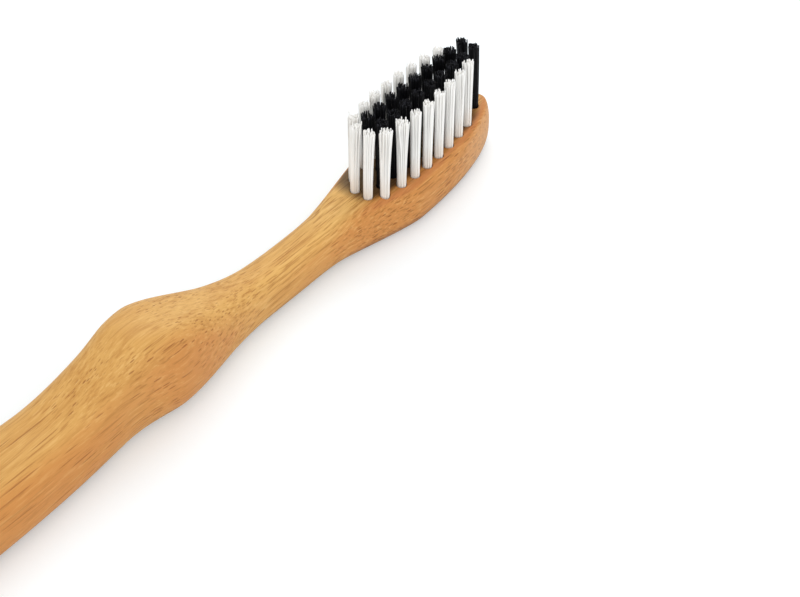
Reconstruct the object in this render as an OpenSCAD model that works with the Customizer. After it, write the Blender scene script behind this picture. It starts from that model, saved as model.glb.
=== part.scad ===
// Manual toothbrush: a handle of one piece of bamboo, tufts of nylon bristles in blind holes in its head,
// and a flat wire anchor at the foot of each tuft. +X runs towards the tip of the head, +Z is the bristle
// side and +Y the left. The flat back of the wood lies on z = 0, and the origin is under the middle of the
// brush's length.

/* [Handle plan] */
// Length of the brush, from the end of the grip to the tip of the head
brush_length = 190; // [180:1:210]
// From the tip of the head to its widest place
nose_length = 19.9; // [16:0.1:21]
// Full width of the head
head_width = 11.2; // [11:0.1:12.5]
// From the widest place of the head to the front of the neck
head_taper = 17.5; // [16:0.5:20]
// Full width of the neck
neck_width = 5.8; // [5:0.1:7]
// Length of the neck's narrow part
neck_length = 8.5; // [6:0.5:11]
// From the back of the neck to the widest place of the thumb rest
rest_rise = 18; // [15:0.5:20]
// Full width of the thumb rest
rest_width = 11.1; // [9.5:0.1:12.5]
// From the widest place of the thumb rest to the waist behind it
rest_fall = 8; // [7:0.5:12]
// Full width of the waist
waist_width = 9.1; // [8:0.1:10]
// From the waist to the shoulder of the grip
shoulder_rise = 19.5; // [16:0.5:24]
// Full width at the shoulder of the grip
shoulder_width = 10.6; // [9:0.1:12]
// Full width of the grip where its rounded end begins
end_width = 9.4; // [8:0.1:12]
// Length of the rounded end of the grip
end_round = 6; // [4:0.5:9]

/* [Handle profile] */
// Thickness of the head, from its flat back to its planed face
head_thickness = 6.8; // [6:0.1:7.8]
// Length of the planed face, from the tip of the head
face_length = 29.4; // [28.9:0.1:32]
// From the end of the face to the lowest place of the neck
neck_dip = 8.5; // [7:0.5:12]
// How far the lowest place of the neck lies below the face of the head
neck_hollow = 0.1; // [0:0.1:1]
// From the lowest place of the neck to the crest of the thumb rest
crest_rise = 30; // [26:0.5:32]
// Height of the crest above the back
crest_height = 13.5; // [10:0.1:14.5]
// From the crest to the foot of its slope towards the grip
crest_fall = 14.5; // [12:0.5:18]
// Height of the grip behind the thumb rest
grip_height = 9.5; // [8:0.1:10]
// Height of the grip where its rounded end begins
end_height = 7.6; // [6:0.1:9.5]

/* [Rounded edges] */
// How far the rounded edges reach in over the face of the head
head_edge_reach = 1.6; // [1.3:0.1:1.8]
// How far the rounded edge reaches in at the tip of the head
tip_edge_reach = 0.9; // [0.2:0.1:1.2]
// How far the rounded edges reach in over the rest of the handle
handle_edge_reach = 3.9; // [3:0.1:4]

/* [Tuft places] */
// Number of columns of four tufts
column_count = 8; // [6:1:8]
// Distance between neighbouring tufts along the brush
tuft_pitch = 2.53; // [2.45:0.01:2.6]
// From the tip of the head to the foremost pair of tufts
tip_margin = 3.25; // [3.1:0.05:3.9]
// How much more than one pitch the foremost pair stands ahead of the next
tip_pair_lead = 0.35; // [0:0.05:0.5]
// Distance between the two inner rows, which are black but for their heel tufts
inner_row_gap = 2.1; // [2:0.05:2.2]
// Distance between the two white outer rows where they lie widest apart
outer_row_gap = 6.7; // [6.6:0.1:7]
// Which column lies widest apart, counted from the heel
widest_column = 4; // [3.5:0.1:4.5]
// How much nearer the middle each inner row stands at the tip
inner_tip_bow = 0.1; // [0:0.05:0.15]
// How much nearer the middle each outer row stands at the tip
outer_tip_bow = 0.95; // [0.6:0.05:0.95]
// How much nearer the middle each outer row stands at the heel
outer_heel_bow = 0.8; // [0.4:0.05:0.9]
// How far the outer rows stand behind the inner ones
outer_setback = 0.8; // [0.8:0.05:1]
// How much more than its row each last tuft of the outer rows stands behind
outer_heel_lag = 0.4; // [0.2:0.05:0.5]
// How much more than one pitch the heel tufts of the inner rows stand behind the next
inner_heel_lag = 0.25; // [0.1:0.05:0.4]
// Turn of the whole drilled pattern on the head, to the left at the tip, in degrees
pattern_turn = 1.8; // [0:0.1:2]
// From the tip of the head to the point on the middle line about which the pattern turns
turn_place = 9.4; // [6:0.1:14]

/* [Tufts] */
// Diameter of the blind holes
hole_d = 1.45; // [1.3:0.05:1.5]
// Depth of the blind holes below the face of the head
hole_depth = 3.6; // [3:0.1:4.5]
// Gap between a tuft and the wall of its hole
tuft_fit = 0.03; // [0.01:0.01:0.05]
// Height of the trimmed bristles above the face of the head
bristle_length = 10.4; // [9:0.1:12]
// Number of strands in a tuft
strand_count = 13; // [9:1:13]
// Thickness of one strand, from corner to corner
strand_d = 0.21; // [0.15:0.01:0.21]
// How much further out the outermost strands stand at their tips
flare = 0.1; // [0:0.01:0.12]
// Difference in height between the longest and the shortest strand of a tuft
trim_raggedness = 0.5; // [0:0.1:1]

/* [Anchors] */
// Length of an anchor, which is longer than the hole is wide and bites into the wood
anchor_length = 1.95; // [1.8:0.05:2.1]
// Height of an anchor
anchor_height = 1.2; // [1:0.1:1.5]
// Thickness of the flat wire
anchor_thickness = 0.25; // [0.2:0.01:0.3]
// Gap round an anchor in the wood and in the fold of its tuft
anchor_fit = 0.02; // [0.01:0.01:0.04]
// Height of the folded bristles under an anchor
fold_height = 0.5; // [0.3:0.1:0.8]

/* [Hidden] */
// How far cuts and fused pieces run past the surfaces they cross
overrun = 0.3;
// Wood left proud of the back and of the head's face before they are planed
planing_allowance = 0.02;
// Points round the handle's section, a multiple of four
section_points = 36;
// Steps round the nose, along the body and round the end of the handle
nose_steps = 16;
body_steps = 56;
end_steps = 8;
// Angle of the first ring round the nose and the rounded end
first_ring_angle = 3;
// Exponents of the superellipses that round the nose, the end of the grip and the edges
nose_exponent = 2;
end_exponent = 2.3;
edge_exponent = 2.45;
// Sides of a strand, and the share of its thickness that it keeps at its tip
strand_sides = 4;
strand_tip_share = 0.85;
// Turn from one strand of a bundle to the next, the golden angle
golden_angle = 137.508;
// Facets of a hole and of a tuft's root
round_facets = 32;

bamboo_colour = [0.84, 0.62, 0.38];
white_nylon_colour = [0.93, 0.93, 0.92];
black_nylon_colour = [0.06, 0.06, 0.07];
brass_colour = [0.78, 0.66, 0.36];

tip_x = brush_length / 2;
face_z = head_thickness;
hole_floor_z = face_z - hole_depth;
root_z = hole_floor_z + tuft_fit;
root_r = hole_d / 2 - tuft_fit;
anchor_z = root_z + fold_height;
bundle_r = root_r - strand_d / 2;

// Plan of the handle from the widest place of the head to the start of its rounded end, and its profile. A
// row holds a distance behind the tip of the head and the full width or the height there. The lean shares
// that go with it tell where on the stretch before each row half of the change is reached.
neck_front = nose_length + head_taper;
neck_back = neck_front + neck_length;
rest_place = neck_back + rest_rise;
waist_place = rest_place + rest_fall;
end_place = brush_length - end_round;
plan = [
    [nose_length, head_width],
    [neck_front, neck_width],
    [neck_back, neck_width],
    [rest_place, rest_width],
    [waist_place, waist_width],
    [waist_place + shoulder_rise, shoulder_width],
    [end_place, end_width],
];
plan_lean_shares = [0.5, 0.4, 0.5, 0.53, 0.4, 0.36, 0.45];

dip_place = face_length + neck_dip;
crest_place = dip_place + crest_rise;
profile = [
    [face_length, head_thickness],
    [dip_place, head_thickness - neck_hollow],
    [crest_place, crest_height],
    [crest_place + crest_fall, grip_height],
    [end_place, end_height],
];
profile_lean_shares = [0.5, 0.5, 0.62, 0.4, 0.6];

// Reach of the rounded edges, which grows over the taper of the head
reaches = [[nose_length, head_edge_reach], [neck_front, handle_edge_reach]];
reach_lean_shares = [0.5, 0.7];

// Smooth rise from 0 to 1 that passes a half at the given share of the way
function ease(share, half_share) = let (leant = pow(share, ln(1 / 2) / ln(half_share)))
    leant * leant * (3 - 2 * leant);

// Value of an outline at a distance behind the tip, level before its first row and behind its last
function along(outline, lean_shares, distance, row = 1) =
    distance <= outline[0][0] ? outline[0][1]
    : row == len(outline) ? outline[row - 1][1]
    : distance > outline[row][0] ? along(outline, lean_shares, distance, row + 1)
    : let (share = (distance - outline[row - 1][0]) / (outline[row][0] - outline[row - 1][0]))
        outline[row - 1][1] + (outline[row][1] - outline[row - 1][1]) * ease(share, lean_shares[row]);

// Share of a full size left near a rounded end, a superellipse over the given length
function rounded_share(distance, length, exponent) =
    distance >= length ? 1 : pow(1 - pow(1 - distance / length, exponent), 1 / exponent);

// Share of a half width or half height that a point of a rounded edge reaches, from its sine or cosine
function edge_share(value) = sign(value) * pow(abs(value), 2 / edge_exponent);

// One ring of the handle's section, at a distance behind the tip of the head
function section(distance) =
    let (
        end_share = rounded_share(brush_length - distance, end_round, end_exponent),
        nose_share = rounded_share(distance, nose_length, nose_exponent),
        tip_edge_share = rounded_share(distance, tip_edge_reach, edge_exponent),
        half_width = along(plan, plan_lean_shares, distance) / 2 * nose_share * end_share,
        middle_z = along(profile, profile_lean_shares, distance) / 2,
        half_height = (middle_z + planing_allowance) * tip_edge_share * end_share,
        edge = min(half_width, along(reaches, reach_lean_shares, distance))
    )
    [for (k = [0 : section_points - 1])
        let (
            angle = 360 * k / section_points,
            side = k % (section_points / 2) == section_points / 4 ? 0 : sign(cos(angle))
        )
        [
            tip_x - distance,
            side * (half_width - edge + edge_share(abs(cos(angle))) * edge),
            middle_z + edge_share(sin(angle)) * half_height
        ]];

// Distances of all rings: dense round the nose and the end, even between them
function quarter_turn(k, steps) = 1 - cos(first_ring_angle + (90 - first_ring_angle) * k / steps);
ring_distances = concat(
    [for (k = [0 : nose_steps - 1]) nose_length * quarter_turn(k, nose_steps)],
    [for (k = [0 : body_steps - 1]) nose_length + (end_place - nose_length) * k / body_steps],
    [for (k = [end_steps : -1 : 0]) brush_length - end_round * quarter_turn(k, end_steps)]
);

// Triangles of a closed tube of rings, wound so that its faces point outwards
function tube_faces(rings, points) = concat(
    [for (ring = [0 : rings - 2]) for (k = [0 : points - 1])
        let (start = ring * points, next = (k + 1) % points)
        each [
            [start + k, start + next, start + points + k],
            [start + next, start + points + next, start + points + k],
        ]],
    [for (k = [1 : points - 2]) [0, k + 1, k]],
    [for (k = [1 : points - 2]) let (last = (rings - 1) * points) [last, last + k, last + k + 1]]
);

// Place of a column of tufts along the brush, counted from the heel. Column 0 holds the heel tufts of the
// inner rows, and the one past column_count the foremost pair.
function column_x(column) = tip_x - tip_margin
    - (column > column_count ? 0 : tip_pair_lead + (column_count + 1 - column) * tuft_pitch);

// How far along its bow a row of tufts is at a column, from 0 where it is widest to 1 at its tip or heel end
function tip_share(column) = max(0, (column - widest_column) / (column_count - widest_column));
function heel_share(column) = max(0, (widest_column - column) / (widest_column - 1));

// Places of one tuft of the left inner and outer row, and their turned place on the given side of the head
function inner_place(column) = [
    column_x(column) - (column == 0 ? inner_heel_lag : 0),
    inner_row_gap / 2 - inner_tip_bow * pow(tip_share(column), 2)
];
function outer_place(column) = [
    column_x(column) - outer_setback - (column == 1 ? outer_heel_lag : 0),
    outer_row_gap / 2
        - outer_tip_bow * pow(tip_share(column), 2)
        - outer_heel_bow * pow(heel_share(column), 2)
];
function turned(place, side) =
    let (ahead = place[0] - (tip_x - turn_place), out = side * place[1])
    [
        tip_x - turn_place + ahead * cos(pattern_turn) - out * sin(pattern_turn),
        ahead * sin(pattern_turn) + out * cos(pattern_turn)
    ];

// Every tuft: its name, place and colour
SIDES = [["left", 1], ["right", -1]];
tufts = concat(
    [for (side = SIDES) for (column = [1 : column_count + 1])
        [str("black_tuft_", side[0], "_", column), turned(inner_place(column), side[1]), black_nylon_colour]],
    [for (side = SIDES) for (column = [1 : column_count])
        [str("white_tuft_", side[0], "_", column), turned(outer_place(column), side[1]), white_nylon_colour]],
    [for (side = SIDES)
        [str("heel_tuft_", side[0]), turned(inner_place(0), side[1]), white_nylon_colour]]
);

// Blind hole for one tuft
module tuft_hole() {
    translate([0, 0, hole_floor_z])
        cylinder(h = hole_depth + overrun, d = hole_d, $fn = round_facets);
}

// Room for one anchor, in the wood and in the fold of its tuft
module anchor_room() {
    translate([0, 0, anchor_z + anchor_height / 2])
        cube([anchor_length, anchor_thickness, anchor_height] + 2 * anchor_fit * [1, 1, 1], center = true);
}

// The wood before its holes are drilled, with its back planed and the face of its head planed
module planed_wood() {
    difference() {
        polyhedron(
            points = [for (distance = ring_distances) each section(distance)],
            faces = tube_faces(len(ring_distances), section_points),
            convexity = 4
        );
        translate([-brush_length, -brush_length, -brush_length])
            cube([2 * brush_length, 2 * brush_length, brush_length]);
        translate([tip_x - dip_place, -brush_length, face_z])
            cube([brush_length, 2 * brush_length, brush_length]);
    }
}

// Handle: head, neck, thumb rest and grip in one piece
module handle() {
    color(bamboo_colour)
    difference() {
        planed_wood();
        for (tuft = tufts)
            translate(tuft[1]) {
                tuft_hole();
                anchor_room();
            }
    }
}

// One straight strand, from a foot inside the root to its tip
module strand(foot, tip, turn) {
    ring = [for (k = [0 : strand_sides - 1]) let (angle = turn - 360 * k / strand_sides)
        strand_d / 2 * [cos(angle), sin(angle), 0]];
    polyhedron(
        points = concat(
            [for (corner = ring) foot + corner],
            [for (corner = ring) tip + corner * strand_tip_share]
        ),
        faces = tube_faces(2, strand_sides)
    );
}

// Tuft: bristles folded over their anchor. The root is a solid plug, and the strands are spread like the
// seeds of a sunflower, each on its own line out of the root.
module tuft(at, colour) {
    color(colour)
    translate(at) {
        difference() {
            translate([0, 0, root_z])
                cylinder(h = face_z - root_z, r = root_r, $fn = round_facets);
            anchor_room();
        }
        for (k = [0 : strand_count - 1])
            let (
                angle = golden_angle * k,
                out_share = sqrt((k + 1 / 2) / strand_count),
                tip_z = face_z + bristle_length - trim_raggedness * (1 + sin(golden_angle * k * k)) / 2,
                direction = [cos(angle), sin(angle), 0]
            )
            strand(
                foot = direction * bundle_r * out_share + [0, 0, face_z - overrun],
                tip = direction * (bundle_r + flare) * out_share + [0, 0, tip_z],
                turn = angle
            );
    }
}

// Anchors: one flat piece of wire across the foot of each tuft
module tuft_anchors() {
    color(brass_colour)
    for (tuft = tufts)
        translate([tuft[1][0], tuft[1][1], anchor_z + anchor_height / 2])
            cube([anchor_length, anchor_thickness, anchor_height], center = true);
}

handle();
tuft_anchors();
for (t = tufts)
    tuft(t[1], t[2]);
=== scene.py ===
"""Looks of a manual toothbrush with a bamboo handle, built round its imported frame.

The wood is one grid of points with a blind hole drilled for each tuft, and each tuft is a bundle of nylon
filaments folded over its wire anchor. All sizes are in millimetres and repeat those of the frame.
"""

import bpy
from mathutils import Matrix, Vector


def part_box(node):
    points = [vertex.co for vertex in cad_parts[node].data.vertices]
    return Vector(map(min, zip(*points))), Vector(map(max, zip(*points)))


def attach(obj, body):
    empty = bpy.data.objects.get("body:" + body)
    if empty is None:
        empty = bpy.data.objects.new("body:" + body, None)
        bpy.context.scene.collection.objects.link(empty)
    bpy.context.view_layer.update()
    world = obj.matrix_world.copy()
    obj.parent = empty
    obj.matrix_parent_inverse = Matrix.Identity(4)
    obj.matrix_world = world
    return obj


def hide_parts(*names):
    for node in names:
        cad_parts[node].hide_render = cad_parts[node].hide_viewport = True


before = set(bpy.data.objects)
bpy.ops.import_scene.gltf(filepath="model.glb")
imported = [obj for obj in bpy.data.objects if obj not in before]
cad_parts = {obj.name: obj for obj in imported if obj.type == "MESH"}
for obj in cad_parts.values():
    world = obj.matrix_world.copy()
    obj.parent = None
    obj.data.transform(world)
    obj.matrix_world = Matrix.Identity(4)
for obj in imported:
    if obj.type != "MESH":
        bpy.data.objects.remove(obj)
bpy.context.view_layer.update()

import logging
import math
from collections.abc import Sequence
from dataclasses import asdict, dataclass, field
from enum import Enum
from typing import Any

import bpy
import numpy as np
from bpy.types import ID, Material, Mesh, NodeSocket, Object
from mathutils import Matrix, Vector

MM = 0.001
BODY = "root"

Colour = tuple[float, float, float, float]
Triple = tuple[float, float, float]
Pair = tuple[float, float]
Array = np.ndarray

log = logging.getLogger("toothbrush")


class Nylon(Enum):
    """The two colours of filament."""

    WHITE = "white_nylon"
    BLACK = "black_nylon"


def linear(red: int, green: int, blue: int) -> Colour:
    """A colour written as sRGB bytes, as linear red, green, blue and alpha."""
    shares = [value / 255 for value in (red, green, blue)]
    return (*(s / 12.92 if s <= 0.04045 else ((s + 0.055) / 1.055) ** 2.4 for s in shares), 1.0)


def smoothed(mesh: Mesh, angle: float) -> None:
    """Shades a mesh smooth, but for the edges that bend more than an angle in degrees."""
    mesh.shade_smooth()
    mesh.set_sharp_from_angle(angle=math.radians(angle))


def placed(name: str, data: ID) -> Object:
    """Puts an object into the scene, at its origin.

    Args:
        name: name of the object.
        data: its mesh, lamp or camera.

    Returns:
        The object.
    """
    piece = bpy.data.objects.new(name, data)
    bpy.context.collection.objects.link(piece)
    return piece


def new_object(
    name: str, points: Array, faces: Sequence[Sequence[int]], smooth_angle: float = 40.0
) -> Object:
    """Makes a mesh object of millimetre points, in the scene's own metres.

    Args:
        name: name of the object and of its mesh.
        points: one row of x, y and z for each vertex.
        faces: vertex numbers of each face, anticlockwise from outside.
        smooth_angle: edges that bend more than this many degrees stay sharp.

    Returns:
        The object, at the origin of the scene.
    """
    mesh = bpy.data.meshes.new(name)
    mesh.from_pydata((points * MM).tolist(), [], faces)
    smoothed(mesh, smooth_angle)
    mesh.update()
    return placed(name, mesh)


def tube_faces(rings: int, sides: int) -> list[list[int]]:
    """Quads between neighbouring rings of a tube and one cap at each end.

    Vertex number = ring * sides + side. The rings run so that their sides turn anticlockwise when seen
    against the direction in which the ring numbers grow.

    Args:
        rings: number of rings.
        sides: number of points in a ring.

    Returns:
        The faces, wound outwards.
    """
    ring, side = np.meshgrid(np.arange(rings - 1), np.arange(sides), indexing="ij")
    low = ring * sides + side
    low_next = ring * sides + (side + 1) % sides
    quads = np.stack([low, low_next, low_next + sides, low + sides], -1).reshape(-1, 4).tolist()
    caps = [list(range(sides - 1, -1, -1)), list(range((rings - 1) * sides, rings * sides))]
    return quads + caps


@dataclass(frozen=True)
class Socket:
    """One output of a node. Arithmetic on it adds Math nodes."""

    paint: "Paint"
    link: NodeSocket

    def math(self, operation: str, *values: Any) -> "Socket":
        """Adds one Math node whose first input is this socket."""
        return self.paint.node("ShaderNodeMath", {"operation": operation}, dict(enumerate((self, *values))))

    def __add__(self, other: Any) -> "Socket":
        """Sum."""
        return self.math("ADD", other)

    __radd__ = __add__

    def __sub__(self, other: Any) -> "Socket":
        """Difference."""
        return self.math("SUBTRACT", other)

    def __rsub__(self, other: float) -> "Socket":
        """Difference from a number."""
        return self.paint.node("ShaderNodeMath", {"operation": "SUBTRACT"}, {0: other, 1: self})

    def __mul__(self, other: Any) -> "Socket":
        """Product."""
        return self.math("MULTIPLY", other)

    __rmul__ = __mul__

    def __pow__(self, power: float) -> "Socket":
        """Power."""
        return self.math("POWER", power)


class Paint:
    """The nodes of a material, or of the world, under construction."""

    def __init__(self, owner: Any) -> None:
        """Empties the nodes.

        Args:
            owner: the new material or world.
        """
        owner.use_nodes = True
        self.owner = owner
        self.tree = owner.node_tree
        self.tree.nodes.clear()

    def node(
        self, kind: str, settings: dict[str, Any], inputs: dict[str | int, Any], output: str | int = 0
    ) -> Socket:
        """Adds one node.

        Args:
            kind: Blender's name of the node's type.
            settings: the node's own settings, set before its sockets.
            inputs: values of its sockets, or the sockets that feed them, by name or number.
            output: which output is wanted.

        Returns:
            That output.
        """
        made = self.tree.nodes.new(kind)
        for key, value in settings.items():
            setattr(made, key, value)
        for key, value in inputs.items():
            if isinstance(value, Socket):
                self.tree.links.new(value.link, made.inputs[key])
            else:
                made.inputs[key].default_value = value
        return Socket(self, made.outputs[output])

    def place(self) -> Socket:
        """The point on the piece, in millimetres."""
        point = self.node("ShaderNodeTexCoord", {}, {}, "Object")
        return self.scaled(point, (1 / MM, 1 / MM, 1 / MM))

    def scaled(self, vector: Socket, factors: Triple) -> Socket:
        """A vector times a factor for each axis."""
        return self.node("ShaderNodeVectorMath", {"operation": "MULTIPLY"}, {0: vector, 1: factors})

    def shifted(self, vector: Socket, offset: Any) -> Socket:
        """A vector plus another."""
        return self.node("ShaderNodeVectorMath", {"operation": "ADD"}, {0: vector, 1: offset})

    def axis(self, vector: Socket, name: str) -> Socket:
        """One coordinate of a vector."""
        return self.node("ShaderNodeSeparateXYZ", {}, {"Vector": vector}, name)

    def noise(
        self, place: Socket, scale: Triple, detail: float, roughness: float, output: str = "Fac"
    ) -> Socket:
        """Smooth noise whose scale is the number of bumps to a millimetre along each axis."""
        inputs = {"Vector": self.scaled(place, scale), "Scale": 1.0, "Detail": detail, "Roughness": roughness}
        return self.node("ShaderNodeTexNoise", {}, inputs, output)

    def step(self, value: Socket, start: float, end: float) -> Socket:
        """Rises smoothly from 0 at start to 1 at end, which may be the lower of the two."""
        inputs = {"Value": value, "From Min": start, "From Max": end, "To Min": 0.0, "To Max": 1.0}
        return self.node("ShaderNodeMapRange", {"interpolation_type": "SMOOTHSTEP"}, inputs)

    def mix(self, factor: Any, first: Any, second: Any) -> Socket:
        """Mixes two colours: the first one at a factor of 0, the second at 1."""
        settings = {"data_type": "RGBA", "blend_type": "MIX", "clamp_factor": True}
        return self.node("ShaderNodeMix", settings, {0: factor, 6: first, 7: second}, 2)

    def bump(self, height: Socket, distance: float, strength: float) -> Socket:
        """Normal of a surface that rises by a height times a distance in millimetres."""
        inputs = {"Height": height, "Distance": distance * MM, "Strength": strength}
        return self.node("ShaderNodeBump", {}, inputs)

    def seen(self) -> Socket:
        """1 for rays that show a backdrop: from the camera, or reflected or let through by a glossy surface.

        Returns:
            The mask.
        """
        kinds = ("Is Camera Ray", "Is Glossy Ray", "Is Transmission Ray")
        camera, glossy, through = (self.node("ShaderNodeLightPath", {}, {}, kind) for kind in kinds)
        return camera.math("MAXIMUM", glossy).math("MAXIMUM", through)

    def close(self, inputs: dict[str | int, Any]) -> Material:
        """Ends the material in one Principled shader with the given sockets."""
        self.output(self.node("ShaderNodeBsdfPrincipled", {}, inputs))
        return self.owner

    def output(self, surface: Socket, kind: str = "ShaderNodeOutputMaterial") -> None:
        """Sends a shader to the output."""
        self.tree.links.new(surface.link, self.tree.nodes.new(kind).inputs["Surface"])


@dataclass(frozen=True)
class Wood:
    """A point in the wandering grain, and masks of the parts of the wood that differ in tone or grain."""

    place: Socket
    x: Socket
    y: Socket
    crest: Socket
    head: Socket
    neck: Socket
    grip: Socket
    grip_end: Socket
    outer: Socket


@dataclass(frozen=True)
class Share:
    """How much of a mark shows: a plain share, and what each part of the wood adds to it."""

    plain: float
    crest: float = 0.0
    head: float = 0.0
    neck: float = 0.0
    grip: float = 0.0
    outer: float = 0.0

    def over(self, wood: Wood) -> Socket | float:
        """The plain share, plus each part's mask times the number of the same name."""
        added = {part: value for part, value in asdict(self).items() if part != "plain" and value}
        return sum((getattr(wood, part) * value for part, value in added.items()), self.plain)


@dataclass(frozen=True)
class Bamboo:
    """Finish of the wood: satin bamboo whose fibres run along X.

    A fibre bundle is a thin dark rod inside the wood. Where the surface runs along the rods it shows them as
    long lines, and where it slopes across them as dashes and dots. On the right side of the head, the thumb
    rest and the grip, past a slanted plane, the wood is more orange.

    A pair of limits is where a mask starts and where it is full. A cell holds one rod, whose limits are
    distances from its middle, as shares of the cell. The relief is a depth in millimetres and a strength.
    """

    light: Colour = linear(223, 175, 99)
    tan: Colour = linear(203, 149, 76)
    orange: Colour = linear(201, 135, 67)
    brown: Colour = linear(168, 109, 46)
    fibre: Colour = linear(140, 76, 24)
    pale: Colour = linear(238, 196, 124)
    red: Colour = linear(190, 116, 62)
    # Painted light: the paler colour of the nose's flank, which faces the light.
    painted_nose_light: Colour = linear(224, 182, 138)
    shade: Colour = linear(46, 28, 15)

    wander_scale: Triple = (0.03, 0.1, 0.1)
    wander_reach: Triple = (0.0, 1.4, 1.4)
    band_scale: Triple = (0.016, 0.34, 0.3)
    streak_scale: Triple = (0.09, 1.7, 1.1)
    line_scale: Triple = (0.26, 4.4, 2.4)
    patch_scale: Triple = (0.06, 0.22, 0.12)

    crest_z: Pair = (12.4, 13.3)
    head_x: float = 60.0
    head_blur: float = 4.0
    neck_x: Pair = (38.0, 64.0)
    neck_blur: float = 8.0
    grip_x: Pair = (34.0, 10.0)
    grip_end_x: Pair = (20.0, -5.0)
    outer_y: Pair = (1.0, -0.6)

    tan_bands: Pair = (0.34, 0.66)
    tan_streaks: Pair = (0.35, 0.7)
    band_tan: float = 0.5
    streak_tan: float = 0.35
    # The head and grip shares make the wood lighter towards the head and darker towards the grip: painted
    # light and shade, where the light falls off along the brush.
    part_tan: Share = Share(0.0, crest=0.25, head=-0.35, grip=0.45)
    brown_streaks: Pair = (0.52, 0.75)
    streak_brown: float = 0.3
    dark_lines: Pair = (0.54, 0.64)
    line_clear: Share = Share(1.0, crest=-0.4)
    line_brown: Share = Share(0.36, head=0.32, neck=0.18)
    pale_lines: Pair = (0.46, 0.36)
    line_pale: Share = Share(0.3, head=0.2)
    side_pale: float = 0.5

    plane_y: float = -4.2
    plane_x: float = 28.0
    plane_slope: float = 0.05
    plane_slope_grip: float = 0.016
    plane_blur: float = 1.3
    plane_streaks: float = 1.6
    plane_bands: float = 1.2

    patches: Pair = (0.3, 0.48)
    crowd_head: float = 0.8
    bundle_cell: Triple = (14.0, 0.4, 0.5)
    bundle_limits: Pair = (0.25, 0.15)
    bundle_clear: Share = Share(1.0, crest=-0.85)
    bundle_share: Share = Share(0.6, head=0.15)
    # Painted highlights: pale flecks set just off each fibre bundle.
    glint_shift: Triple = (1.5, 0.08, 0.06)
    glint_limits: Pair = (0.22, 0.1)
    glint_share: Share = Share(0.3, outer=-0.22)
    thread_cell: Triple = (20.0, 0.33, 0.45)
    thread_shifts: tuple[Triple, Triple] = ((3.0, 5.1, 2.3), (-9.0, 2.7, 7.9))
    thread_limits: Pair = (0.29, 0.17)
    thread_least: float = 0.25
    thread_growth: float = 0.5
    thread_clear: Share = Share(1.0, crest=-0.7)
    thread_share: Share = Share(0.8, head=0.2)
    quiet_neck: float = 0.35
    quiet_end: float = 0.4
    quiet_bundles: float = 0.6

    nose_x: float = 75.1
    nose_length: float = 19.9
    head_half: float = 5.6
    taper: float = 2.7
    taper_length: float = 17.5
    band_fray: float = 1.2
    band_outer: Pair = (0.5, 0.9)
    band_inner: Pair = (1.9, 1.2)
    band_x: Pair = (64.0, 70.0)
    band_z: Pair = (6.0, 6.5)
    band_red: float = 0.6
    flank_inset: Pair = (0.7, 0.2)
    flank_x: Pair = (79.0, 91.0)
    nose_light_share: float = 0.32

    field_x: Pair = (79.4, 12.1)
    field_y: Pair = (0.75, 3.9)
    field_edge: Pair = (1.4, 0.6)
    field_z: Pair = (6.3, 6.7)
    field_shade: float = 0.82
    underside_z: Pair = (2.1, 0.3)
    underside_shade: float = 0.5

    roughness: float = 0.5
    streak_roughness: float = 0.14
    bundle_roughness: float = 0.1
    specular: float = 0.35
    thread_depth: float = 0.5
    line_depth: float = 0.25
    relief: Pair = (0.025, 0.9)

    def material(self) -> Material:
        """Builds the material.

        Returns:
            The material.
        """
        paint = Paint(bpy.data.materials.new("bamboo"))
        place = paint.place()
        wander = paint.noise(place, self.wander_scale, 1.0, 0.5, "Color")
        wander = paint.shifted(wander, (-0.5, -0.5, -0.5))
        place = paint.shifted(place, paint.scaled(wander, self.wander_reach))
        wood = self.wood(paint, place)
        streaks = paint.noise(place, self.streak_scale, 2.0, 0.55)
        colour, lines = self.tones(paint, wood, streaks)
        colour, bundles, threads = self.fibres(paint, wood, colour)
        band, flank = self.edges(paint, streaks)
        colour = paint.mix(band * self.band_red, colour, self.red)
        # Painted light: the flank of the nose is made paler where it faces the light.
        colour = paint.mix(flank * self.nose_light_share, colour, self.painted_nose_light)
        colour = paint.mix(self.shaded(paint), colour, self.shade)
        height = bundles * -1.0 - threads * self.thread_depth - lines * self.line_depth
        return paint.close({
            "Base Color": colour,
            "Roughness": self.roughness + streaks * self.streak_roughness + bundles * self.bundle_roughness,
            "Specular IOR Level": self.specular,
            "Normal": paint.bump(height, *self.relief),
        })

    def wood(self, paint: Paint, place: Socket) -> Wood:
        """Masks of the wood's parts at a point.

        Args:
            paint: the material.
            place: the point in the wandering grain.

        Returns:
            The point and the masks.
        """
        x, y = paint.axis(place, "X"), paint.axis(place, "Y")
        start, end = self.neck_x
        return Wood(
            place=place,
            x=x,
            y=y,
            crest=paint.step(paint.axis(paint.place(), "Z"), *self.crest_z),
            head=paint.step(x, self.head_x - self.head_blur, self.head_x + self.head_blur),
            neck=paint.step(x, start, start + self.neck_blur) * paint.step(x, end, end - self.neck_blur),
            grip=paint.step(x, *self.grip_x),
            grip_end=paint.step(x, *self.grip_end_x),
            outer=paint.step(y, *self.outer_y),
        )

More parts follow.
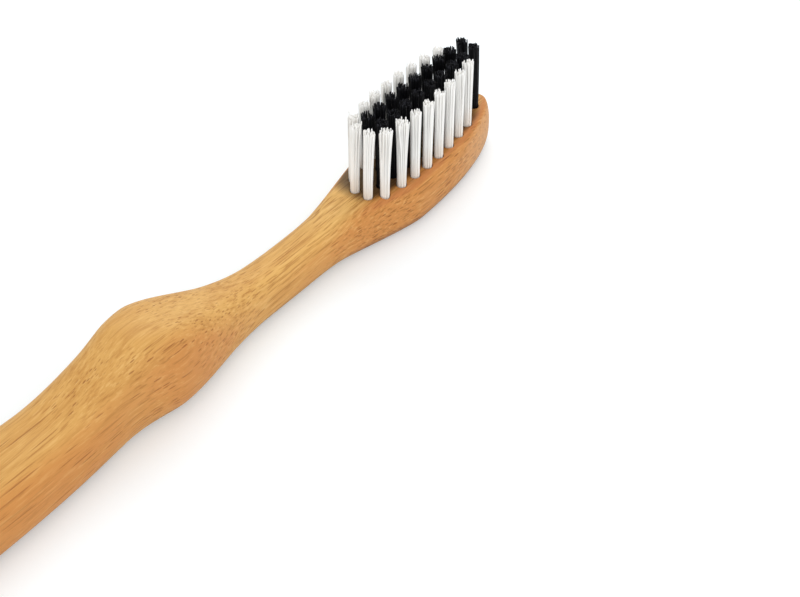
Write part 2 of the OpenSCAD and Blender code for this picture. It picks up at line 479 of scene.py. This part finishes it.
    def tones(self, paint: Paint, wood: Wood, streaks: Socket) -> tuple[Socket, Socket]:
        """The wood's colour without its fibres.

        It has the slanted plane past which the right side is more orange, wide bands, and streaks down to a
        fibre's width.

        Args:
            paint: the material.
            wood: the point and the masks.
            streaks: noise a millimetre wide.

        Returns:
            The colour, and a mask of the dark lines in it.
        """
        bands = paint.noise(wood.place, self.band_scale, 2.0, 0.5)
        lines = paint.noise(wood.place, self.line_scale, 3.0, 0.65)
        share = paint.step(bands, *self.tan_bands) * self.band_tan
        share = share + paint.step(streaks, *self.tan_streaks) * self.streak_tan + self.part_tan.over(wood)
        colour = paint.mix(share, self.light, self.tan)
        ahead = (wood.x - self.plane_x).math("MAXIMUM", 0.0) * self.plane_slope
        behind = (self.plane_x - wood.x).math("MAXIMUM", 0.0) * self.plane_slope_grip
        past = wood.y - ahead - behind
        past = past + (streaks - 0.5) * self.plane_streaks + (bands - 0.5) * self.plane_bands
        side = paint.step(past, self.plane_y + self.plane_blur, self.plane_y - self.plane_blur)
        colour = paint.mix(side, colour, self.orange)
        colour = paint.mix(paint.step(streaks, *self.brown_streaks) * self.streak_brown, colour, self.brown)
        dark = paint.step(lines, *self.dark_lines) * self.line_clear.over(wood)
        colour = paint.mix(dark * self.line_brown.over(wood), colour, self.brown)
        pale = paint.step(lines, *self.pale_lines) * self.line_pale.over(wood) * (1 - side * self.side_pale)
        return paint.mix(pale, colour, self.pale), dark

    def fibres(self, paint: Paint, wood: Wood, colour: Socket) -> tuple[Socket, Socket, Socket]:
        """Adds the fibre bundles, pale flecks just off them that are painted highlights on the rims of their
        pits, and the finer threads.

        They stand in patches, leave the crest of the thumb rest nearly bare, and crowd into lines along the
        outer side of the neck and the head.

        Args:
            paint: the material.
            wood: the point and the masks.
            colour: the wood's colour without them.

        Returns:
            The colour with them, and masks of the bundles and of the threads.
        """
        patches = paint.step(paint.noise(wood.place, self.patch_scale, 2.0, 0.5), *self.patches)
        head = paint.step(wood.x, self.head_x, self.head_x + self.neck_blur)
        crowd = wood.outer * wood.neck.math("MAXIMUM", head * self.crowd_head)
        crowded = patches.math("MAXIMUM", crowd) * self.bundle_clear.over(wood)
        bundles = self.rods(paint, wood.place, self.bundle_cell, self.bundle_limits) * crowded
        # Painted highlights: pale flecks just off each bundle, where a pit's rim would catch the light.
        beside = paint.shifted(wood.place, self.glint_shift)
        painted_glints = self.rods(paint, beside, self.bundle_cell, self.glint_limits) * crowded
        few, more = (
            self.rods(paint, paint.shifted(wood.place, shift), self.thread_cell, self.thread_limits)
            for shift in self.thread_shifts
        )
        growth = (patches + crowd) * self.thread_growth + self.thread_least
        threads = few.math("MAXIMUM", more * crowd) * growth * self.thread_clear.over(wood)
        quiet = (wood.neck * self.quiet_neck).math("MAXIMUM", wood.grip_end * self.quiet_end)
        # The pale colour here is painted highlight, not grain.
        colour = paint.mix(painted_glints * self.glint_share.over(wood), colour, self.pale)
        colour = paint.mix(threads * (self.thread_share.over(wood) - quiet), colour, self.brown)
        share = self.bundle_share.over(wood) - quiet * self.quiet_bundles
        return paint.mix(bundles * share, colour, self.fibre), bundles, threads

    def edges(self, paint: Paint, streaks: Socket) -> tuple[Socket, Socket]:
        """Masks of the redder band along the edge of the head's face, and of the flank of its nose, made
        paler as painted light.

        With u = (x - nose_x) / nose_length, held between 0 and 1, the head's half width is
        head_half * (1 - u ^ 2) ^ 0.5 ahead of nose_x and narrows by taper behind it. The band lies within
        that outline, between band_outer and band_inner, and the flank outside the band.

        Args:
            paint: the material.
            streaks: noise that frays the band.

        Returns:
            The band's mask and the flank's.
        """
        x, y, z = (paint.axis(paint.place(), name) for name in "XYZ")
        ahead = ((x - self.nose_x) * (1 / self.nose_length)).math("MAXIMUM", 0.0).math("MINIMUM", 1.0)
        width = (1 - ahead * ahead) ** 0.5 * self.head_half
        width = width - paint.step(x, self.nose_x, self.nose_x - self.taper_length) * self.taper
        inset = width - y.math("ABSOLUTE") + (streaks - 0.5) * self.band_fray
        band = paint.step(inset, *self.band_outer) * paint.step(inset, *self.band_inner)
        band = band * paint.step(x, *self.band_x) * paint.step(z, *self.band_z)
        return band, paint.step(inset, *self.flank_inset) * paint.step(x, *self.flank_x)

    def shaded(self, paint: Paint) -> Socket:
        """A mask of the wood that lies in deep shade: among the tufts, and where the underside turns in.

        The field of tufts is u ^ 4 + v ^ 4 < 1, where u and v are the distances from its middle along and
        across the brush, as shares of half its size. Field_x and field_y hold the middle and that half.

        Args:
            paint: the material.

        Returns:
            The mask.
        """
        x, y, z = (paint.axis(paint.place(), name) for name in "XYZ")
        along = (x - self.field_x[0]) * (1 / self.field_x[1])
        across = (y - self.field_y[0]) * (1 / self.field_y[1])
        among = paint.step(along**4.0 + across**4.0, *self.field_edge) * paint.step(z, *self.field_z)
        under = paint.step(z, *self.underside_z) * self.underside_shade
        return (among * self.field_shade).math("MAXIMUM", under)

    def rods(self, paint: Paint, place: Socket, cell: Triple, limits: Pair) -> Socket:
        """A mask of long thin rods inside the wood, one in each cell of a jumbled grid.

        Args:
            paint: the material.
            place: the point.
            cell: size of a cell along each axis.
            limits: distances from a rod's middle, as shares of a cell, where it starts and where it is full.

        Returns:
            The mask.
        """
        per_mm = tuple(1 / size for size in cell)
        distance = paint.node(
            "ShaderNodeTexVoronoi", {"voronoi_dimensions": "3D", "feature": "F1"},
            {"Vector": paint.scaled(place, per_mm), "Scale": 1.0, "Randomness": 1.0}, "Distance",
        )
        return paint.step(distance, *limits)


@dataclass(frozen=True)
class Filament:
    """Finish of the filaments: satin nylon that differs a little from one filament to the next.

    Over foot_shade_reach just above the wood the nylon turns towards a warm foot colour: painted shade, with
    light bounced off the wood. The cut ends turn paler between the two depths of end_reach under the tips, on
    the strands whose number lies past end_strands.
    """

    name: str
    body: Colour
    shade: Colour
    end: Colour
    foot: Colour
    foot_shade_share: float
    face_z: float
    tip_z: float
    roughness: float
    specular: float
    foot_shade_reach: float = 4.0
    strand_share: float = 0.7
    streak_share: float = 0.3
    streak_scale: Triple = (4.0, 4.0, 0.3)
    streak_limits: Pair = (0.45, 0.75)
    end_reach: Pair = (0.5, 0.1)
    end_strands: Pair = (0.35, 0.7)
    scratch_scale: Triple = (14.0, 14.0, 1.2)
    scratch_roughness: float = 0.12
    relief: Pair = (0.01, 0.5)

    def material(self) -> Material:
        """Builds the material.

        Returns:
            The material.
        """
        paint = Paint(bpy.data.materials.new(self.name))
        place = paint.place()
        strand = paint.node("ShaderNodeAttribute", {"attribute_name": "strand"}, {}, "Fac")
        streaks = paint.noise(place, self.streak_scale, 2.0, 0.6)
        z = paint.axis(place, "Z")
        shade = paint.step(streaks, *self.streak_limits) * self.streak_share
        colour = paint.mix(strand * self.strand_share + shade, self.body, self.shade)
        # Painted shade and light bounced off the wood, on the nylon just above it.
        foot = paint.step(z, self.face_z + self.foot_shade_reach, self.face_z) * self.foot_shade_share
        colour = paint.mix(foot, colour, self.foot)
        ends = paint.step(z, *(self.tip_z - reach for reach in self.end_reach))
        colour = paint.mix(ends * paint.step(strand, *self.end_strands), colour, self.end)
        scratches = paint.noise(place, self.scratch_scale, 2.0, 0.6)
        return paint.close({
            "Base Color": colour,
            "Roughness": self.roughness + scratches * self.scratch_roughness,
            "Specular IOR Level": self.specular,
            "Normal": paint.bump(scratches, *self.relief),
        })


@dataclass(frozen=True)
class Wire:
    """Finish of the anchors: drawn brass wire with fine lines along it."""

    bright: Colour = linear(214, 178, 104)
    dull: Colour = linear(168, 130, 70)
    line_scale: Triple = (0.6, 14.0, 14.0)
    dull_lines: Pair = (0.35, 0.7)
    roughness: float = 0.28
    line_roughness: float = 0.2
    relief: Pair = (0.01, 0.4)

    def material(self) -> Material:
        """Builds the material.

        Returns:
            The material.
        """
        paint = Paint(bpy.data.materials.new("anchor_wire"))
        lines = paint.noise(paint.place(), self.line_scale, 3.0, 0.6)
        return paint.close({
            "Base Color": paint.mix(paint.step(lines, *self.dull_lines), self.bright, self.dull),
            "Metallic": 1.0,
            "Roughness": self.roughness + lines * self.line_roughness,
            "Normal": paint.bump(lines, *self.relief),
        })


@dataclass
class Outline:
    """A curve through rows of distance behind the tip and value, level before the first row.

    value = sum over the rows of the step to the next value times s * s * (3 - 2 * s), where s is the share of
    the stretch between the two rows, leant so that half of the step is reached at the row's lean share.
    """

    rows: list[Pair]
    leans: list[float]

    def at(self, distance: Array) -> Array:
        """The curve's value at each distance.

        Args:
            distance: places behind the tip.

        Returns:
            One value for each place.
        """
        total = np.full(distance.shape, self.rows[0][1], float)
        for (start, before), (end, after), lean in zip(self.rows, self.rows[1:], self.leans):
            share = np.clip((distance - start) / (end - start), 0, 1) ** (math.log(0.5) / math.log(lean))
            total += (after - before) * share * share * (3 - 2 * share)
        return total


def rounded(distance: Array, length: float, exponent: float) -> Array:
    """Share of the full size near a rounded end: (1 - (1 - d / length) ^ n) ^ (1 / n)."""
    share = np.clip(1 - distance / length, 0, 1)
    return (1 - share**exponent) ** (1 / exponent)


@dataclass
class TuftPlaces:
    """Where the tufts stand: two inner rows of black ones and two bowed outer rows of white ones.

    The heel tufts of the inner rows are white too, and the whole pattern is turned a little on the head.
    """

    tip_x: float = 95.0
    columns: int = 8
    pitch: float = 2.53
    tip_margin: float = 3.25
    tip_pair_lead: float = 0.35
    inner_gap: float = 2.1
    outer_gap: float = 6.7
    widest: float = 4.0
    inner_tip_bow: float = 0.1
    outer_tip_bow: float = 0.95
    outer_heel_bow: float = 0.8
    outer_setback: float = 0.8
    outer_heel_lag: float = 0.4
    inner_heel_lag: float = 0.25
    turn: float = 1.8
    turn_place: float = 9.4

    def column_x(self, column: int) -> float:
        """Place of a column along the brush, counted from the heel. The last one is the pair at the tip."""
        behind = self.tip_pair_lead + (self.columns + 1 - column) * self.pitch
        return self.tip_x - self.tip_margin - (0.0 if column > self.columns else behind)

    def near_tip(self, column: int) -> float:
        """How near a column is to the tip: 0 up to the widest column, 1 at the last of the outer rows."""
        return max(0.0, (column - self.widest) / (self.columns - self.widest))

    def inner(self, column: int) -> Pair:
        """Place of a tuft of the left inner row before the turn.

        Args:
            column: number of its column, 0 for the heel tuft.

        Returns:
            Its x and y.
        """
        lag = self.inner_heel_lag if column == 0 else 0.0
        bow = self.inner_tip_bow * self.near_tip(column) ** 2
        return self.column_x(column) - lag, self.inner_gap / 2 - bow

    def outer(self, column: int) -> Pair:
        """Place of a tuft of the left outer row before the turn.

        Args:
            column: number of its column.

        Returns:
            Its x and y.
        """
        tip = self.near_tip(column)
        heel = max(0.0, (self.widest - column) / (self.widest - 1))
        lag = self.outer_setback + (self.outer_heel_lag if column == 1 else 0.0)
        y = self.outer_gap / 2 - self.outer_tip_bow * tip**2 - self.outer_heel_bow * heel**2
        return self.column_x(column) - lag, y

    def turned(self, place: Pair, side: int) -> Pair:
        """A place on one side of the head, turned with the pattern.

        Args:
            place: x and y on the left side, before the turn.
            side: 1 for the left side, -1 for the right.

        Returns:
            Its x and y after the turn.
        """
        pivot, turn = self.tip_x - self.turn_place, math.radians(self.turn)
        ahead, out = place[0] - pivot, side * place[1]
        return (
            pivot + ahead * math.cos(turn) - out * math.sin(turn),
            ahead * math.sin(turn) + out * math.cos(turn),
        )

    def all(self) -> dict[str, tuple[float, float, Nylon]]:
        """Every tuft.

        Returns:
            Its x, y and colour, by the name of its node.
        """
        places: dict[str, tuple[float, float, Nylon]] = {}
        for name, side in (("left", 1), ("right", -1)):
            for column in range(1, self.columns + 2):
                places[f"black_tuft_{name}_{column}"] = (*self.turned(self.inner(column), side), Nylon.BLACK)
            for column in range(1, self.columns + 1):
                places[f"white_tuft_{name}_{column}"] = (*self.turned(self.outer(column), side), Nylon.WHITE)
            places[f"heel_tuft_{name}"] = (*self.turned(self.inner(0), side), Nylon.WHITE)
        return places


@dataclass
class Handle:
    """The wood: head, neck, thumb rest and grip in one piece."""

    places: TuftPlaces
    length: float = 190.0
    nose: float = 19.9
    end_round: float = 6.0
    end_place: float = 184.0
    face_z: float = 6.8
    dip_place: float = 37.9
    hole_d: float = 1.45
    hole_depth: float = 3.6
    hole_sides: int = 32
    drill_above: float = 1.0
    planing: float = 0.02
    tip_reach: float = 0.9
    nose_exponent: float = 2.0
    end_exponent: float = 2.3
    edge_exponent: float = 2.45
    first_angle: float = 3.0
    nose_rings: int = 72
    body_rings: int = 300
    end_rings: int = 32
    sides: int = 96
    smooth_angle: float = 40.0
    plan: Outline = field(default_factory=lambda: Outline(
        [(19.9, 11.2), (37.4, 5.8), (45.9, 5.8), (63.9, 11.1), (71.9, 9.1), (91.4, 10.6), (184, 9.4)],
        [0.4, 0.5, 0.53, 0.4, 0.36, 0.45],
    ))
    profile: Outline = field(default_factory=lambda: Outline(
        [(29.4, 6.8), (37.9, 6.7), (67.9, 13.5), (82.4, 9.5), (184, 7.6)], [0.5, 0.62, 0.4, 0.6],
    ))
    reach: Outline = field(default_factory=lambda: Outline([(19.9, 1.6), (37.4, 3.9)], [0.7]))

    def distances(self) -> Array:
        """Places of the rings behind the tip, dense where the ends curve in: length * (1 - cos angle).

        Returns:
            The places, from the tip to the end of the grip.
        """
        nose_angle = np.radians(np.linspace(self.first_angle, 90, self.nose_rings))
        end_angle = np.radians(np.linspace(90, self.first_angle, self.end_rings))
        nose = self.nose * (1 - np.cos(nose_angle))
        body = np.linspace(self.nose, self.end_place, self.body_rings)[1:-1]
        end = self.length - self.end_round * (1 - np.cos(end_angle))
        return np.concatenate([nose, body, end])

    def surface(self, distance: Array) -> Array:
        """Rings of the wood's section.

        Half width w and half height h follow the outlines and the rounded ends. With the reach e of the
        edges, y = +-(w - e) + e * C and z = middle + h * S, where C and S are the cosine and sine of the
        angle, each raised to 2 / exponent with its sign kept. The back and the face of the head are then
        planed flat.

        Args:
            distance: places behind the tip.

        Returns:
            Points by ring, side and axis.
        """
        angle = 2 * np.pi * np.arange(self.sides) / self.sides
        end = rounded(self.length - distance, self.end_round, self.end_exponent)
        width = self.plan.at(distance) / 2 * rounded(distance, self.nose, self.nose_exponent) * end
        middle = self.profile.at(distance) / 2
        height = (middle + self.planing) * rounded(distance, self.tip_reach, self.edge_exponent) * end
        edge = np.minimum(width, self.reach.at(distance))
        # Rounding makes the cosine and sine of the quarter turns 0
        across, up = (
            np.sign(part) * np.abs(part) ** (2 / self.edge_exponent)
            for part in (np.round(np.cos(angle), 12), np.round(np.sin(angle), 12))
        )
        y = np.sign(across) * (width - edge)[:, None] + across * edge[:, None]
        z = middle[:, None] + up * height[:, None]
        z = np.where((distance < self.dip_place)[:, None], np.minimum(z, self.face_z), z)
        x = np.broadcast_to((self.places.tip_x - distance)[:, None], y.shape)
        return np.stack([x, y, np.maximum(z, 0)], -1)

    def drill(self) -> Object:
        """The holes for the tufts, as closed cylinders: x and y = r * (cos a, sin a) round each tuft's place.

        Returns:
            One object of all cylinders.
        """
        sides = self.hole_sides
        angle = 2 * np.pi * np.arange(sides) / sides
        ring = self.hole_d / 2 * np.stack([np.cos(angle), np.sin(angle)], -1)
        points, faces = [], []
        for x, y, _ in self.places.all().values():
            for z in (self.face_z - self.hole_depth, self.face_z + self.drill_above):
                points.append(np.column_stack([ring + (x, y), np.full(sides, z)]))
            start = (len(points) - 2) * sides
            faces += [[start + corner for corner in face] for face in tube_faces(2, sides)]
        return new_object("drill", np.concatenate(points), faces)

    def build(self) -> Object:
        """Builds the wood, drilled and dressed.

        Returns:
            The handle.
        """
        rings = self.surface(self.distances())[::-1]
        blank = new_object("blank", rings.reshape(-1, 3), tube_faces(len(rings), self.sides))
        drill = self.drill()
        cut = blank.modifiers.new("holes", "BOOLEAN")
        cut.operation, cut.solver, cut.object = "DIFFERENCE", "EXACT", drill
        mesh = bpy.data.meshes.new_from_object(blank.evaluated_get(bpy.context.evaluated_depsgraph_get()))
        for spare in (blank, drill):
            bpy.data.objects.remove(spare)
        mesh.name = "bamboo_handle"
        smoothed(mesh, self.smooth_angle)
        mesh.materials.clear()
        mesh.materials.append(Bamboo().material())
        wood = placed("bamboo_handle", mesh)
        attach(wood, BODY)
        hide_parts("handle")
        return wood


@dataclass(frozen=True)
class Opening:
    """How the free ends of a tuft spread, in millimetres.

    Flare is how far the outermost filaments lean out, loose how far stray ones go beyond that, ragged how
    much shorter the shortest one is, and lean how far all ends lie off the foot, along and across the brush.
    """

    flare: float
    loose: float
    ragged: float
    lean: Pair


@dataclass
class Tufts:
    """The tufts: bundles of filaments, each folded over its anchor so that it has two free ends.

    The table of flares holds the tufts that open otherwise than their colour does. The bristles are
    trimmed a little, so that they end inside the solids' box.
    """

    places: TuftPlaces
    face_z: float = 6.8
    bundle_r: float = 0.67
    filament_d: float = 0.165
    sides: int = 6
    smooth_angle: float = 50.0
    spacing: float = 0.178
    comb: int = 6
    foot_scatter: float = 0.008
    bristle_length: float = 10.4
    trimmed: float = 0.02
    ring_shares: tuple[float, ...] = (1.0, 0.992, 0.72, 0.44, 0.18, 0.0)
    end_thickness: float = 0.6
    bend_power: float = 1.7
    anchor_z: Pair = (3.73, 4.93)
    anchor_half: float = 0.2
    fold_z: float = 3.36
    fold_share: float = 0.7
    fold_drop: float = 0.22
    middle_x: float = 79.1
    half_field: float = 12.0
    lean_in: float = 0.5
    lean_left: float = 0.15
    end_scatter: float = 0.045
    stray_share: float = 0.06
    white_flare: float = 0.16
    black_flare: float = 0.3
    flares: dict[str, float] = field(default_factory=lambda: {
        "heel_tuft_right": 0.22, "white_tuft_right_1": 0.33, "white_tuft_right_2": 0.34,
        "black_tuft_left_1": 0.4, "black_tuft_left_9": 0.18, "black_tuft_right_9": 0.1,
    })
    open_flare: float = 0.2
    open_loose: float = 0.34
    loose: float = 0.16
    white_ragged: float = 0.5
    black_ragged: float = 0.3
    ragged_power: float = 1.5
    off_node: float = 0.1

    def feet(self, random: np.random.Generator) -> Array:
        """Places of the filaments of one half of a bundle, at the mouth of the hole: points of a honeycomb.

        x = (column + half of each odd row) * spacing, y = (row + 0.5) * spacing * sqrt(3) / 2.

        Args:
            random: source of the small shifts from the honeycomb.

        Returns:
            One row of x and y for each filament, all with y above 0.
        """
        columns, rows = np.arange(-self.comb, self.comb + 1), np.arange(self.comb)
        column, row = np.meshgrid(columns, rows, indexing="ij")
        x = (column + 0.5 * (row % 2)) * self.spacing
        y = (row + 0.5) * self.spacing * math.sqrt(0.75)
        inside = np.hypot(x, y) < self.bundle_r - self.filament_d / 2
        points = np.stack([x[inside], y[inside]], -1)
        return points + random.normal(0, self.foot_scatter, points.shape)

    def paths(self, opening: Opening, random: np.random.Generator) -> tuple[Array, Array]:
        """Middle lines of all filaments of a tuft, from one free end down round the anchor to the other end.

        A leg leaves its foot in the direction out of the bundle: its shift is splay * t ^ bend_power, where t
        is the share of the length above the wood. In the hole the legs part round the anchor, and under it
        they meet.

        Args:
            opening: how the ends spread.
            random: source of the differences from filament to filament.

        Returns:
            Points by filament, ring and axis, and the thickness share of each ring.
        """
        feet = self.feet(random)
        count = len(feet)
        shares = np.array(self.ring_shares)
        low, high = self.anchor_z
        stops = ((high, 1.0), (low, 1.0), (low - self.fold_drop, self.fold_share))
        legs = []
        for sign in (1, -1):
            foot = feet * (1, sign)
            stray = random.random(count) < self.stray_share
            scatter = random.normal(0, self.end_scatter + opening.loose * stray[:, None], (count, 2))
            splay = foot / self.bundle_r * opening.flare + scatter
            shorter = random.random(count) ** self.ragged_power * opening.ragged
            length = self.bristle_length - shorter - self.trimmed
            bend = (shares**self.bend_power)[None, :, None]
            above = foot[:, None] + (splay + np.array(opening.lean))[:, None] * bend
            leg_z = self.face_z + length[:, None] * shares
            room = self.bundle_r - self.anchor_half
            parted = self.anchor_half + room * np.abs(foot[:, 1]) / self.bundle_r
            below = np.stack([
                np.column_stack([foot[:, 0], sign * parted * share, np.full(count, z)]) for z, share in stops
            ], 1)
            legs.append(np.concatenate([np.concatenate([above, leg_z[..., None]], -1), below], 1))
        bottom = np.column_stack([feet[:, 0], np.zeros(count), np.full(count, self.fold_z)])[:, None]
        path = np.concatenate([legs[0], bottom, legs[1][:, ::-1]], 1)
        thickness = np.ones(path.shape[1])
        thickness[[0, -1]] = self.end_thickness
        return path, thickness

    def bundle(self, name: str, x: float, y: float, opening: Opening, seed: int) -> Object:
        """Builds one tuft.

        Each ring is round: centre + r * (cos a * n + sin a * b), with n square to the path and near X, and b
        the product of the path's direction and n.

        Args:
            name: name of the object.
            x: place of the tuft along the brush.
            y: place of the tuft across it.
            opening: how its ends spread.
            seed: start of its random numbers.

        Returns:
            The tuft.
        """
        random = np.random.default_rng(seed)
        path, thickness = self.paths(opening, random)
        filaments, rings, _ = path.shape
        direction = np.gradient(path, axis=1)
        direction /= np.linalg.norm(direction, axis=-1, keepdims=True)
        normal = np.array([1.0, 0, 0]) - direction * direction[..., :1]
        normal /= np.linalg.norm(normal, axis=-1, keepdims=True)
        binormal = np.cross(direction, normal)
        angle = 2 * np.pi * np.arange(self.sides) / self.sides
        radius = (self.filament_d / 2 * thickness)[None, :, None, None]
        circle = np.cos(angle)[:, None] * normal[:, :, None] + np.sin(angle)[:, None] * binormal[:, :, None]
        points = (path[:, :, None] + radius * circle + (x, y, 0)).reshape(-1, 3)
        one = tube_faces(rings, self.sides)
        step = rings * self.sides
        faces = [[corner + k * step for corner in face] for k in range(filaments) for face in one]
        tuft = new_object(name, points, faces, self.smooth_angle)
        strand = tuft.data.attributes.new("strand", "FLOAT", "POINT")
        strand.data.foreach_set("value", np.repeat(random.random(filaments), step).astype(np.float32))
        return tuft

    def opening(self, node: str, x: float, nylon: Nylon) -> Opening:
        """How one tuft opens: by its own flare in the table, or else by that of its colour.

        Its ends lean towards the middle of the field by lean_in * u ^ 3, where u is the distance from there
        as a share of half_field, and those of the left black row lean out to the left too.

        Args:
            node: name of the tuft's node.
            x: place of the tuft along the brush.
            nylon: its colour.

        Returns:
            The opening.
        """
        black = nylon is Nylon.BLACK
        flare = self.flares.get(node, self.black_flare if black else self.white_flare)
        share = (x - self.middle_x) / self.half_field
        return Opening(
            flare=flare,
            loose=self.open_loose if node in self.flares and flare > self.open_flare else self.loose,
            ragged=self.black_ragged if black else self.white_ragged,
            lean=(-self.lean_in * share**3, self.lean_left if node.startswith("black_tuft_left") else 0.0),
        )

    def finishes(self) -> dict[Nylon, Material]:
        """The nylon of each colour.

        Returns:
            The materials.
        """
        tip_z = self.face_z + self.bristle_length
        # The foot colours are painted shade and light bounced off the wood.
        white = Filament(
            Nylon.WHITE.value, body=linear(252, 251, 248), shade=linear(240, 238, 234),
            end=linear(253, 253, 253), foot=linear(222, 200, 176), foot_shade_share=0.36, face_z=self.face_z,
            tip_z=tip_z, roughness=0.42, specular=0.4,
        )
        black = Filament(
            Nylon.BLACK.value, body=linear(8, 8, 10), shade=linear(16, 16, 20), end=linear(40, 41, 46),
            foot=linear(12, 10, 9), foot_shade_share=0.3, face_z=self.face_z, tip_z=tip_z, roughness=0.4,
            specular=0.15,
        )
        return {Nylon.WHITE: white.material(), Nylon.BLACK: black.material()}

    def build(self) -> list[Object]:
        """Builds all tufts and dresses them in nylon.

        Returns:
            The tufts.
        """
        finishes = self.finishes()
        made = []
        for seed, (name, (x, y, nylon)) in enumerate(self.places.all().items()):
            low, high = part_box(name)
            middle = (low + high) / 2 / MM
            if math.hypot(middle.x - x, middle.y - y) > self.off_node:
                log.warning("%s stands %.2f, %.2f from its node", name, x - middle.x, y - middle.y)
            tuft = self.bundle(f"{name}_filaments", x, y, self.opening(name, x, nylon), seed)
            tuft.data.materials.append(finishes[nylon])
            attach(tuft, BODY)
            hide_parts(name)
            made.append(tuft)
        return made


@dataclass
class Anchors:
    """The wire anchors, which keep the shape of their node."""

    node: str = "tuft_anchors"

    def build(self) -> Object:
        """Dresses the anchors in brass.

        Returns:
            The anchors.
        """
        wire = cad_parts[self.node]
        finish = Wire().material()
        for slot in wire.material_slots:
            slot.material = finish
        return wire


@dataclass(frozen=True)
class Lamp:
    """A square soft lamp, with its place and size in metres and its power in watts."""

    name: str
    place: Triple
    size: float
    power: float
    target: Triple = (0.03, 0.0, 0.0)

    def build(self) -> None:
        """Hangs the lamp and aims it at the brush."""
        light = bpy.data.lights.new(self.name, "AREA")
        light.size, light.energy = self.size, self.power
        lamp = placed(self.name, light)
        lamp.location = self.place
        lamp.rotation_euler = (Vector(self.target) - lamp.location).to_track_quat("-Z", "Y").to_euler()


@dataclass
class Studio:
    """A pale floor, soft light and a camera.

    The floor's glow to the camera grows by floor_lift_far over the distances of floor_rise from the brush.
    """

    camera_place: Triple = (-70.82, -118.3, 164.01)
    yaw: float = 38.661
    pitch: float = 43.965
    roll: float = 0.328
    focal_px: float = 1885.1
    image_width: int = 800
    sensor_width: float = 36.0
    clip: Pair = (0.01, 20.0)
    floor_half: float = 2000.0
    floor_drop: float = 0.03
    paper: tuple[int, int, int] = (236, 242, 245)
    floor_lift: float = 0.18
    floor_lift_far: float = 0.25
    floor_rise: Pair = (150.0, 500.0)
    world_level: float = 0.82
    lamps: tuple[Lamp, ...] = (
        Lamp("key", (0.42, 0.15, 0.38), 0.4, 0.8),
        Lamp("fill", (-0.6, -0.75, 0.65), 0.8, 4.2),
    )

    def floor(self) -> Object:
        """A wide floor just under the brush, white to the camera where no shadow falls.

        Returns:
            The floor.
        """
        corners = self.floor_half * np.array([(-1, -1), (1, -1), (1, 1), (-1, 1)])
        points = np.column_stack([corners, np.full(4, -self.floor_drop)])
        floor = new_object("floor", points, [[0, 1, 2, 3]])
        paint = Paint(bpy.data.materials.new("floor_paper"))
        plain = paint.node("ShaderNodeBsdfDiffuse", {}, {"Color": linear(*self.paper)})
        away = paint.node("ShaderNodeVectorMath", {"operation": "LENGTH"}, {0: paint.place()}, "Value")
        level = paint.step(away, *self.floor_rise) * self.floor_lift_far + self.floor_lift
        lift = paint.node("ShaderNodeEmission", {}, {"Strength": paint.seen() * level})
        paint.output(paint.node("ShaderNodeAddShader", {}, {0: plain, 1: lift}))
        floor.data.materials.append(paint.owner)
        return floor

    def world(self) -> None:
        """An even pale sky, white to the camera and in reflections."""
        world = bpy.data.worlds.new("studio")
        bpy.context.scene.world = world
        paint = Paint(world)
        strength = paint.seen() * (1 - self.world_level) + self.world_level
        sky = paint.node("ShaderNodeBackground", {}, {"Color": (1.0, 1.0, 1.0, 1.0), "Strength": strength})
        paint.output(sky, "ShaderNodeOutputWorld")

    def camera(self) -> None:
        """Places the camera: yaw and pitch turn its axes, and the roll turns them about the line of sight."""
        yaw, pitch, roll = (math.radians(angle) for angle in (self.yaw, self.pitch, self.roll))
        ahead = Vector((math.cos(yaw), math.sin(yaw), 0.0))
        level = Vector((math.sin(yaw), -math.cos(yaw), 0.0))
        above = Vector((0.0, 0.0, 1.0))
        sight = ahead * math.cos(pitch) - above * math.sin(pitch)
        up = ahead * math.sin(pitch) + above * math.cos(pitch)
        right = level * math.cos(roll) + up * math.sin(roll)
        up = up * math.cos(roll) - level * math.sin(roll)
        lens = bpy.data.cameras.new("camera")
        lens.sensor_width = self.sensor_width
        lens.lens = self.sensor_width * self.focal_px / self.image_width
        lens.clip_start, lens.clip_end = self.clip
        camera = placed("camera", lens)
        camera.matrix_world = Matrix.Translation(Vector(self.camera_place) * MM) @ Matrix(
            (right, up, -sight)
        ).transposed().to_4x4()
        bpy.context.scene.camera = camera

    def build(self) -> None:
        """Sets up floor, sky, lamps and camera."""
        self.floor()
        self.world()
        for lamp in self.lamps:
            lamp.build()
        self.camera()
        bpy.context.scene.view_settings.view_transform = "Standard"


def main() -> None:
    """Builds the brush and its studio, and reports each piece."""
    logging.basicConfig(level=logging.INFO, format="%(message)s")
    Studio().build()
    places = TuftPlaces()
    wood = Handle(places).build()
    log.info("%s: %d faces", wood.name, len(wood.data.polygons))
    for tuft in Tufts(places).build():
        log.info("%s: %d faces", tuft.name, len(tuft.data.polygons))
    log.info("%s dressed", Anchors().build().name)


if __name__ == "__main__":
    main()
